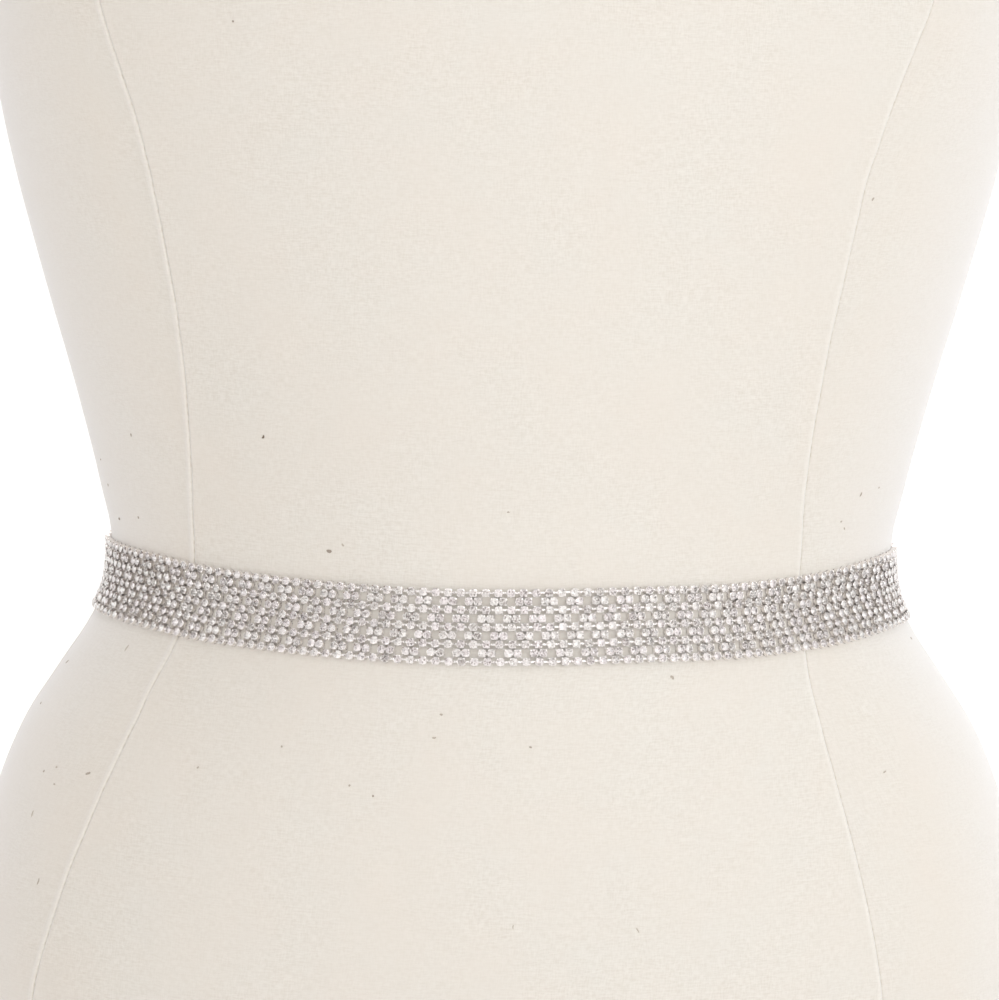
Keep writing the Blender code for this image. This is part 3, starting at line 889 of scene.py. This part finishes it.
def set_on_net(cups, template, faces, spin, lean, lean_turn):
    """A copy of a template at every cup, spun and leaned by these angles."""
    place, across = cup_places(cups)
    axes = tilted(band_axes(place, across), spin, lean, lean_turn)
    return copies(template, faces, band_place(place, across), axes)


STONE_LEAN = 3.5
STONE_LEAN_MOST = 7.0


def build_crystals(cups, glass, foil):
    chance, count = np.random.default_rng(5), len(cups)
    spin = chance.uniform(0.0, math.tau, count)
    lean = np.clip(chance.normal(0.0, STONE_LEAN, count), -STONE_LEAN_MOST, STONE_LEAN_MOST)
    template, faces, slots = crystal_template()
    points, set_faces = set_on_net(cups, template, faces, spin, np.radians(lean),
                                   chance.uniform(0.0, math.tau, count))
    return make_piece("crystals", points, set_faces, [glass, foil], slots * count)


# ---- Cups ----
def cup_template():
    """Stamped cup of narrow flats, with a rim and four prongs bent over the crystal's edge."""
    outer, inner, rim = CUP_RADIUS, CUP_RADIUS - CUP_WALL, GIRDLE_LIFT + 0.10 * MM
    profile = [(inner - 0.1 * MM, CUP_FOOT), (outer - 0.08 * MM, CUP_FOOT),
               (outer, CUP_FOOT + 0.2 * MM), (outer, rim - 0.06 * MM), (outer - 0.05 * MM, rim),
               (inner, rim - 0.02 * MM), (inner - 0.01 * MM, GIRDLE_LIFT - 0.25 * MM)]
    rings = [point for radius, height in profile for point in circle(radius, CUP_SIDES, height)]
    parts = [(rings, ring_faces(len(profile), CUP_SIDES, closed_path=True))]
    slope = CROWN_HEIGHT / (STONE_RADIUS * (1.0 - TABLE_SHARE))
    tip_radius = 0.84 * STONE_RADIUS
    tip_height = GIRDLE_LIFT + (STONE_RADIUS - tip_radius) * slope + 0.02 * MM
    stations = [(outer + 0.03 * MM, inner, GIRDLE_LIFT - 0.30 * MM, GIRDLE_LIFT - 0.30 * MM, 0.30),
                (outer + 0.04 * MM, inner + 0.02 * MM, rim + 0.10 * MM, rim + 0.02 * MM, 0.26),
                (tip_radius + 0.06 * MM, tip_radius, tip_height + 0.14 * MM, tip_height, 0.17)]
    for p in range(PRONGS):
        angle = math.tau * (p + 0.5) / PRONGS
        radial = np.array([math.cos(angle), math.sin(angle), 0.0])
        sideways = np.array([-math.sin(angle), math.cos(angle), 0.0])
        ring = []
        for far, near, far_z, near_z, half in stations:
            for r, z, side in ((far, far_z, -half), (far, far_z, half), (near, near_z, half),
                               (near, near_z, -half)):
                ring.append(radial * r + sideways * side * MM + np.array([0.0, 0.0, z]))
        parts.append((ring, ring_faces(len(stations), 4)))
    points, faces = joined(parts)
    return points, outward(points, faces)


# Pieces that the cups are shared out to: name, and first and last row.
CUP_PIECES = [("cups_lower_rows", 0, 2), ("cups_middle_rows", 3, 5), ("cups_upper_rows", 6, 8)]
CUP_SPIN = 0.09
CUP_LEAN = 0.8


def build_cups(name, cups, silver):
    chance, count = np.random.default_rng(8 + cups[0][1]), len(cups)
    spin = chance.normal(0.0, CUP_SPIN, count)
    lean = np.radians(chance.normal(0.0, CUP_LEAN, count))
    template, faces = cup_template()
    points, set_faces = set_on_net(cups, template, faces, spin, lean,
                                   chance.uniform(0.0, math.tau, count))
    return make_piece(name, points, set_faces, [silver])


# ---- Net of seats and links ----
SEAT_SIDES = 12
SEAT_LIFT = (-0.38 * MM, -0.04 * MM)


def seat_template():
    points = [point for lift in SEAT_LIFT for point in circle(CUP_RADIUS, SEAT_SIDES, lift)]
    return np.array(points), outward(points, ring_faces(2, SEAT_SIDES))


# How far out the corners of a link stand, in half widths, by its number of sides.
SPREAD = {4: math.sqrt(2.0), 6: 1.0}
WALL_REACH = CUP_RADIUS - 0.06 * MM          # where a link meets the wall of its cup
PAIR_REACH = 1.2 * PAIR_PITCH                # cups of a row this close are a pair
TIE_REACH = 0.36 * REPEAT                    # cups of neighbouring rows this close are tied
BAR_INTO_END = 1.0 * MM


def link(first, second, half_width, low, high, trims, sides):
    """Straight link between two places of the band, each (along, across), cut short by trims."""
    place = np.array([first[0], second[0]])
    across = np.array([first[1], second[1]])
    ends = band_place(place, across)
    out = band_axes(place, across)[:, 2]
    run = unit(ends[1] - ends[0])
    ends = ends + run * np.array([[trims[0]], [-trims[1]]])
    side = unit(np.cross(out[0], run))
    middle, rise = (low + high) / 2.0, (high - low) / 2.0
    points = []
    for end in (0, 1):
        for k in range(sides):
            angle = math.tau * (k + 0.5) / sides
            points.append(ends[end] + out[end] * (middle + rise * math.sin(angle) * SPREAD[sides])
                          + side * half_width * math.cos(angle) * SPREAD[sides])
    return points


def net_links(cups):
    """Ends of the bars along the plain rows, the bridges in the pairs and the ties between rows,
    each with how much its two ends are cut short."""
    rows = [sorted(place for place, row in cups if row == wanted) for wanted in range(ROWS)]
    bars, bridges, ties = [], [], []
    for row, places in enumerate(rows):
        across = cup_across(row)
        for a, b in zip(places, places[1:]):
            ends = ((slid(a, row), across), (slid(b, row), across), (WALL_REACH, WALL_REACH))
            if row % 2 == 0:
                bars.append(ends)
            elif b - a < PAIR_REACH:
                bridges.append(ends)
        if row % 2 == 1:
            for neighbour in (row - 1, row + 1):
                others = np.array(rows[neighbour])
                for place in places:
                    here = (slid(place, row), across)
                    near = others[np.abs(others - place) < TIE_REACH]
                    ties += [(here, (slid(other, neighbour), cup_across(neighbour)), (0.0, 0.0))
                             for other in near]
    for row in range(0, ROWS, 2):
        across = cup_across(row)
        for place, end in ((rows[row][0], BAND_FIRST - BAR_INTO_END),
                           (rows[row][-1], BAND_LAST + BAR_INTO_END)):
            bars.append(((slid(place, row), across), (end, across), (WALL_REACH, 0.0)))
    return bars, bridges, ties


def build_net(cups, silver):
    place, across = cup_places(cups)
    template, faces = seat_template()
    parts = [copies(template, faces, band_place(place, across), band_axes(place, across))]
    shapes = ((BAR_SHAPE, 6), (BRIDGE_SHAPE, 4), (TIE_SHAPE, 4))
    for links, (shape, sides) in zip(net_links(cups), shapes):
        link_faces = outward(link(*links[0][:2], *shape, links[0][2], sides), ring_faces(2, sides))
        parts += [(link(*ends[:2], *shape, ends[2], sides), link_faces) for ends in links]
    points, all_faces = joined(parts)
    return make_piece("sash_net", points, all_faces, [silver], sharp_degrees=50.0)


# ---- Fastening ----
EYE_OUTER = (-7.4 * MM, -1.4 * MM)
EYE_HALF_HEIGHT = 6.5 * MM
EYE_WIRE = 1.4 * MM
EYE_LIFT = (1.5 * MM, 2.5 * MM)
EYE_CORNER = 1.4 * MM
EYE_SIDES = 12
HOOK_HALF_HEIGHT = 4.5 * MM
HOOK_SHEET = 0.7 * MM
HOOK_ROOT = 7.4 * MM
HOOK_FOLD = -4.5 * MM
HOOK_TIP = 1.5 * MM
HOOK_LIFT = (0.45 * MM, 3.6 * MM)
HOOK_CORNER = 0.16 * MM
HOOK_BEND = 0.9 * MM


def clasp_frame():
    level = float(band_level(math.pi))
    up = Vector(unit(form_rise(math.pi, level)))
    out = Vector(form_normal(math.pi, level))
    along = up.cross(out).normalized()
    place = Vector(form_point(math.pi, level)) + out * BAND_SEAT
    return Matrix.Translation(place) @ Matrix((along, up, out)).transposed().to_4x4()


# Rings along an end bar's width: share of the width, and how much the bar shrinks there.
END_BAR_RINGS = ((0.0, 0.30), (0.04, 0.12), (0.12, 0.0), (0.5, 0.0), (0.88, 0.0), (0.96, 0.12),
                 (1.0, 0.30))


def build_end_bar(name, side, silver):
    """Rounded bar along one end of the band; side is +1 at -X and -1 at +X."""
    outer = BAND_END - SEAT_GAP
    edge = BAND_HEIGHT / 2.0
    rings = []
    for share, shrink in END_BAR_RINGS:
        turn = back_turn(side * (outer - END_BAR_WIDTH * (1.0 - share)))
        high = END_BAR_THICKNESS - shrink * MM
        reach = edge - shrink * 0.6 * MM
        wall = [(reach, 0.35 * MM), (reach, high - 0.4 * MM), (reach - 0.15 * MM, high - 0.12 * MM)]
        flat, foot = reach - 0.45 * MM, reach - 0.3 * MM
        profile = [(-across, lift) for across, lift in wall]
        profile += [(across, high) for across in np.linspace(-flat, flat, 9)] + wall[::-1]
        profile += [(across, 0.05 * MM) for across in np.linspace(foot, -foot, 5)]
        rings.append(band_point(turn, *np.array(profile).T))
    points = np.concatenate(rings)
    faces = outward(points, ring_faces(len(rings), len(rings[0])))
    piece = make_piece(name, points, faces, [silver], sharp_degrees=40.0)
    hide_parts("end_bar_hook_side" if side > 0 else "end_bar_eye_side")
    return piece


def build_eye(silver):
    """Round-cornered wire loop."""
    frame_here = clasp_frame()
    half_wire, corner = EYE_WIRE / 2.0, EYE_CORNER
    left, right = EYE_OUTER[0] + half_wire, EYE_OUTER[1] - half_wire
    top = EYE_HALF_HEIGHT - half_wire
    middle_lift = (EYE_LIFT[0] + EYE_LIFT[1]) / 2.0
    half_lift = (EYE_LIFT[1] - EYE_LIFT[0]) / 2.0
    path = []
    corners = ((right - corner, top - corner, 0.0), (left + corner, top - corner, 0.5),
               (left + corner, -top + corner, 1.0), (right - corner, -top + corner, 1.5))
    for centre_x, centre_y, start in corners:
        for angle in np.linspace(start * math.pi, (start + 0.5) * math.pi, 7):
            away_x, away_y = math.cos(angle), math.sin(angle)
            path.append((centre_x + corner * away_x, centre_y + corner * away_y, away_x, away_y))
    rings = []
    for x, y, dx, dy in path:
        for k in range(EYE_SIDES):
            angle = math.tau * k / EYE_SIDES
            side, lift = half_wire * math.cos(angle), half_lift * math.sin(angle)
            rings.append(frame_here @ Vector((x + dx * side, y + dy * side, middle_lift + lift)))
    faces = outward(rings, ring_faces(len(path), EYE_SIDES, closed_path=True))
    piece = make_piece("eye_loop", rings, faces, [silver], sharp_degrees=60.0)
    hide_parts("clasp_eye")
    return piece


def build_hook(silver):
    """Folded plate whose fold passes through the eye."""
    frame_here = clasp_frame()
    low, high = HOOK_LIFT
    outer_radius = (high - low) / 2.0
    inner_radius = outer_radius - HOOK_SHEET
    fold = (HOOK_FOLD + outer_radius, low + outer_radius)
    path = [((HOOK_ROOT, low), (HOOK_ROOT - HOOK_SHEET, low), 1.0)]
    root = (HOOK_ROOT - HOOK_BEND, high - HOOK_BEND)
    for centre, radii, angles in (
            (root, (HOOK_BEND, HOOK_BEND - HOOK_SHEET), np.linspace(0.0, 0.5 * math.pi, 7)),
            (fold, (outer_radius, inner_radius), np.linspace(0.5 * math.pi, 1.5 * math.pi, 19))):
        for angle in angles:
            path.append(tuple((centre[0] + r * math.cos(angle), centre[1] + r * math.sin(angle))
                              for r in radii) + (1.0,))
    for share, narrow in ((0.5, 1.0), (0.85, 0.96), (1.0, 0.86)):
        x = fold[0] + (HOOK_TIP - fold[0]) * share
        path.append(((x, low), (x, low + HOOK_SHEET), narrow))
    rings = []
    for outer, inner, narrow in path:
        half = HOOK_HALF_HEIGHT * narrow
        across = np.array(inner) - np.array(outer)
        cut = HOOK_CORNER / np.linalg.norm(across)
        side = half - HOOK_CORNER
        corners = ((0.0, -side), (0.0, side), (cut, half), (1.0 - cut, half),
                   (1.0, side), (1.0, -side), (1.0 - cut, -half), (cut, -half))
        for share, height in corners:
            along, lift = np.array(outer) + across * share
            rings.append(frame_here @ Vector((along, height, lift)))
    faces = outward(rings, ring_faces(len(path), 8))
    piece = make_piece("hook_plate", rings, faces, [silver], sharp_degrees=40.0)
    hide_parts("clasp_hook")
    return piece


# ---- Sash ----
def build_sash():
    silver = make_silver("silver_plate", 0.22, (0.78, 0.76, 0.74, 1.0), (0.60, 0.585, 0.57, 1.0))
    cup_silver = make_silver("silver_cups", 0.13, (0.95, 0.922, 0.905, 1.0),
                             (0.85, 0.825, 0.81, 1.0))
    cups = lattice()
    net = build_net(cups, make_link_silver())
    rims = [build_cups(name, [cup for cup in cups if first <= cup[1] <= last], cup_silver)
            for name, first, last in CUP_PIECES]
    crystals = build_crystals(cups, make_crystal(), make_foil())
    bars = [build_end_bar("end_bar_left", 1, silver), build_end_bar("end_bar_right", -1, silver)]
    fastening = [build_eye(silver), build_hook(silver)]
    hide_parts("crystal_band")


# ---- Studio ----
FLOOR_REACH = 60.0
FLOOR_LEVEL = -0.2 * MM
CAMERA_DISTANCE = 1.6
CAMERA_ELEVATION = math.radians(7.0)
PIXELS_WIDE, PIXELS_HIGH = 999, 1000
FOCAL_PIXELS = 5008.0
AIM_PIXEL = (501.7, 577.6)
CAMERA_ROLL = math.radians(0.65)
SENSOR = 36.0


def build_camera():
    """Same standpoint and length as the view; it aims at the middle of the frame."""
    data = bpy.data.cameras.new("camera")
    camera = placed_object("camera", data)
    data.sensor_fit = "HORIZONTAL"
    data.sensor_width = SENSOR
    data.lens = SENSOR * FOCAL_PIXELS / PIXELS_WIDE
    data.clip_start, data.clip_end = 0.1, 200.0
    place = Vector((0.0, -CAMERA_DISTANCE * math.cos(CAMERA_ELEVATION),
                    WAIST_HEIGHT + CAMERA_DISTANCE * math.sin(CAMERA_ELEVATION)))
    pitch = CAMERA_ELEVATION - math.atan((AIM_PIXEL[1] - PIXELS_HIGH / 2.0) / FOCAL_PIXELS)
    yaw = math.atan((PIXELS_WIDE / 2.0 - AIM_PIXEL[0]) / FOCAL_PIXELS)
    level = math.cos(pitch)
    forward = Vector((math.sin(yaw) * level, math.cos(yaw) * level, -math.sin(pitch)))
    right = forward.cross(Vector((0.0, 0.0, 1.0))).normalized()
    up = right.cross(forward)
    x_axis = right * math.cos(CAMERA_ROLL) + up * math.sin(CAMERA_ROLL)
    y_axis = up * math.cos(CAMERA_ROLL) - right * math.sin(CAMERA_ROLL)
    turned = Matrix((x_axis, y_axis, -forward)).transposed().to_4x4()
    camera.matrix_world = Matrix.Translation(place) @ turned
    bpy.context.scene.camera = camera


def build_floor():
    mesh = bpy.data.meshes.new("floor")
    corners = [(x * FLOOR_REACH, y * FLOOR_REACH, FLOOR_LEVEL)
               for x, y in ((-1, -1), (1, -1), (1, 1), (-1, 1))]
    mesh.from_pydata(corners, [], [(0, 1, 2, 3)])
    mesh.materials.append(make_floor_material())
    floor = placed_object("floor", mesh)


KEY_PLACE = (1.2, -2.5, 1.25)
KEY_SIZE = (2.4, 1.8)
KEY_RADIANCE = 1.0
KEY_COLOUR = (0.94, 0.97, 1.0)


def build_key():
    """One large soft light, to the right of the camera and above it."""
    data = bpy.data.lights.new("key", "AREA")
    data.shape = "RECTANGLE"
    data.size, data.size_y = KEY_SIZE
    data.energy = KEY_RADIANCE * math.pi * KEY_SIZE[0] * KEY_SIZE[1]
    data.color = KEY_COLOUR
    lamp = placed_object("key", data)
    lamp.location = KEY_PLACE
    aim = Vector((0.0, 0.0, WAIST_HEIGHT))
    lamp.rotation_euler = (aim - lamp.location).to_track_quat("-Z", "Y").to_euler()


WHITE = (1.0, 1.0, 1.0, 1.0)
WORLD_STRENGTH = 1.49
BACKDROP_STRENGTH = 2.30       # towards +Y
BACKDROP_EDGE = (0.10, 0.75)
GAP_GRAIN = 9.0
GAP_EDGE = (0.555, 0.585)
GAP_DEPTH = 0.95
GAP_COLOUR = (0.15, 0.10, 0.07, 1.0)
# Each zone is (direction, how upright its outline stays, full within degrees, gone past degrees,
# how much more of it is dark).
GAP_ZONES = [
    ((0.0, -1.0, 0.12), 1.0, 3.0, 14.0, 0.10),
    ((-1.0, 0.04, 0.0), 0.45, 14.0, 40.0, 0.35),
    ((1.0, 0.05, 0.0), 0.55, 8.0, 28.0, 0.03),
    ((0.0, 1.0, 0.12), 1.0, 6.0, 20.0, 0.35),
]


def build_world():
    """White studio with small dark gaps between its lights, denser at the sides, behind the object
    and at the camera. The camera itself sees plain white in their place."""
    world = bpy.data.worlds.new("studio")
    bpy.context.scene.world = world
    nodes = Nodes(world)
    direction = nodes.add("ShaderNodeTexCoord").outputs["Generated"]
    closed = nodes.noise(direction, GAP_GRAIN, 1.0)
    for toward, upright, inner, outer, share in GAP_ZONES:
        level = nodes.vector("NORMALIZE", nodes.vector("MULTIPLY", direction, (1.0, 1.0, upright)))
        near = nodes.vector("DOT_PRODUCT", level, Vector(toward).normalized(), output="Value")
        zone = nodes.span(near, math.cos(math.radians(outer)), math.cos(math.radians(inner)),
                          0.0, share, "SMOOTHSTEP")
        closed = nodes.plus(closed, zone)
    gap = nodes.span(closed, *GAP_EDGE, 0.0, GAP_DEPTH, "SMOOTHSTEP")
    backward = nodes.add("ShaderNodeSeparateXYZ", {"Vector": direction}).outputs["Y"]
    glow = nodes.span(backward, *BACKDROP_EDGE, WORLD_STRENGTH, BACKDROP_STRENGTH, "SMOOTHSTEP")
    lit = nodes.tree.nodes["Background"]
    nodes.feed(lit, "Color", nodes.mix(gap, WHITE, GAP_COLOUR))
    nodes.feed(lit, "Strength", glow)
    plain = nodes.add("ShaderNodeBackground", {"Color": WHITE, "Strength": WORLD_STRENGTH})
    seen = nodes.add("ShaderNodeLightPath").outputs["Is Camera Ray"]
    either = nodes.add("ShaderNodeMixShader", {0: seen, 1: lit.outputs[0], 2: plain.outputs[0]})
    nodes.feed(nodes.tree.nodes["World Output"], "Surface", either.outputs[0])


def build_studio():
    build_floor()
    build_world()
    build_camera()
    build_key()
    scene = bpy.context.scene
    scene.view_settings.view_transform = "Standard"
    scene.view_settings.look = "None"


def main():
    linen = make_linen()
    wood = make_wood()
    build_cover(linen)
    build_lint(make_lint())
    build_board(wood)
    build_neck_cap(wood)
    build_sash()
    build_studio()


main()
